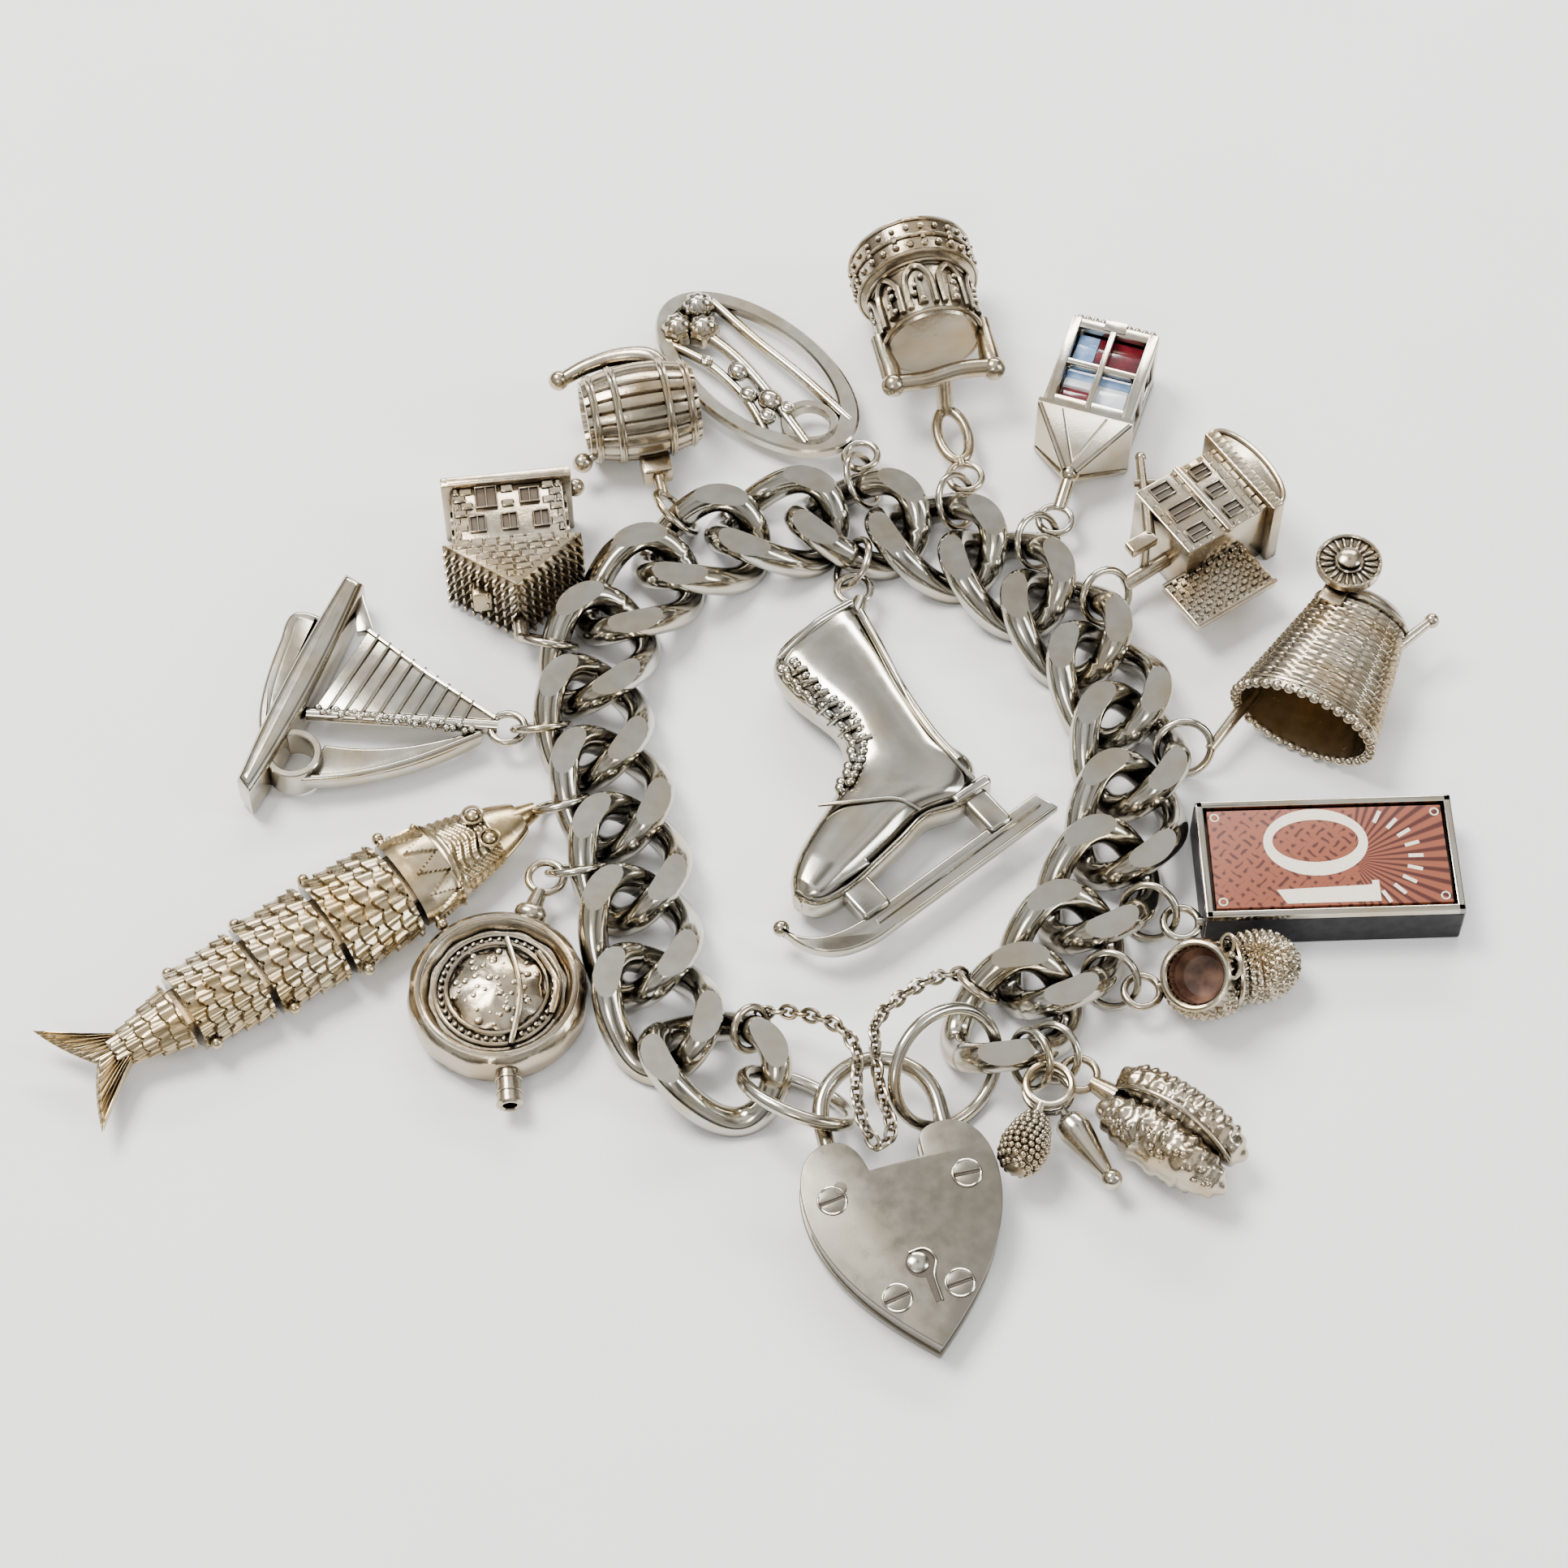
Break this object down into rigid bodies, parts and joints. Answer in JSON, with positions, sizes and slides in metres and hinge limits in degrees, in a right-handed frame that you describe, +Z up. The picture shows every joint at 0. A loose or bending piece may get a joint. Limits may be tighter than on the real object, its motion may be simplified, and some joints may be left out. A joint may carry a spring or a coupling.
{
  "type": "charm bracelet",
  "caption": "Silver curb-link charm bracelet lying in a loop, closed by a heart padlock with a safety chain, with jointed fish, houses, boat, lantern and boot charms.",
  "frame": {"origin": "centre of the footprint on the table the bracelet lies on", "axes": "+Z up from the table; +X from the fish side to the note side; +Y from the padlock to the far side"},
  "size_m": [0.1406, 0.1288, 0.0137],
  "materials": {
    "silver_chain": "polished silver, softly worn",
    "silver_bright": "polished silver",
    "silver_aged": "silver with dark oxidised recesses",
    "enamel_panes": "translucent coloured enamel",
    "printed_paper": "printed paper, folded"
  },
  "bodies": {
    "root": {"link_01": "silver_chain", "link_02": "silver_chain", "link_03": "silver_chain", "link_04": "silver_chain", "link_05": "silver_chain", "link_06": "silver_chain", "link_07": "silver_chain", "link_08": "silver_chain", "link_09": "silver_chain", "link_10": "silver_chain", "link_11": "silver_chain", "link_12": "silver_chain", "link_13": "silver_chain", "link_14": "silver_chain", "link_15": "silver_chain", "link_16": "silver_chain", "link_17": "silver_chain", "link_18": "silver_chain", "link_19": "silver_chain", "link_20": "silver_chain", "end_ring_left": "silver_bright", "end_ring_right": "silver_bright", "padlock_body": "silver_bright", "horn": "silver_bright", "ring_round_locket": "silver_bright", "ring_yacht": "silver_bright", "ring_oval_pendant": "silver_bright", "ring_well": "silver_bright", "ring_lantern": "silver_bright", "ring_note": "silver_bright", "ring_bootee": "silver_bright", "ring_nut": "silver_bright", "ring_drops": "silver_bright", "ring_skate": "silver_bright", "safety_chain": "silver_aged", "fish_head": "silver_aged", "round_locket": "silver_aged", "yacht": "silver_aged", "chalet": "silver_aged", "keg": "silver_aged", "oval_pendant": "silver_aged", "well": "silver_aged", "lantern_case": "silver_aged", "cottage": "silver_aged", "mill_tower": "silver_aged", "note_case": "silver_aged", "bootee": "silver_aged", "nut": "silver_aged", "berry_cone": "silver_aged", "skate": "silver_aged", "lantern_panes": "enamel_panes", "note_paper": "printed_paper"},
    "shackle": {"padlock_shackle": "silver_bright"},
    "fish_scales_1": {"fish_scales_1": "silver_aged"},
    "fish_scales_2": {"fish_scales_2": "silver_aged"},
    "fish_scales_3": {"fish_scales_3": "silver_aged"},
    "fish_tail": {"fish_tail": "silver_aged"},
    "mill_fan": {"mill_fan": "silver_aged"}
  },
  "joints": [
    {"name": "shackle_swing", "type": "hinge", "parent": "root", "child": "shackle", "pos_m": [0.00814, -0.04873, 0.0033], "axis": [0.0196, -0.0849, 0.9962], "range_deg": [0, 12]},
    {"name": "fish_bend_1", "type": "hinge", "parent": "root", "child": "fish_scales_1", "pos_m": [-0.03432, -0.01415, 0.0032], "axis": [0.5736, -0.8192, 0], "range_deg": [-10, 10]},
    {"name": "fish_bend_2", "type": "hinge", "parent": "fish_scales_1", "child": "fish_scales_2", "pos_m": [-0.04136, -0.01909, 0.0032], "axis": [0.5736, -0.8192, 0], "range_deg": [-10, 10]},
    {"name": "fish_bend_3", "type": "hinge", "parent": "fish_scales_2", "child": "fish_scales_3", "pos_m": [-0.04808, -0.02379, 0.0032], "axis": [0.5736, -0.8192, 0], "range_deg": [-10, 10]},
    {"name": "fish_bend_4", "type": "hinge", "parent": "fish_scales_3", "child": "fish_tail", "pos_m": [-0.0548, -0.02849, 0.0032], "axis": [0.5736, -0.8192, 0], "range_deg": [-10, 10]},
    {"name": "fan_spin", "type": "hinge", "parent": "root", "child": "mill_fan", "pos_m": [0.06082, 0.01983, 0.0099], "axis": [0, 0, 1], "continuous": true}
  ]
}
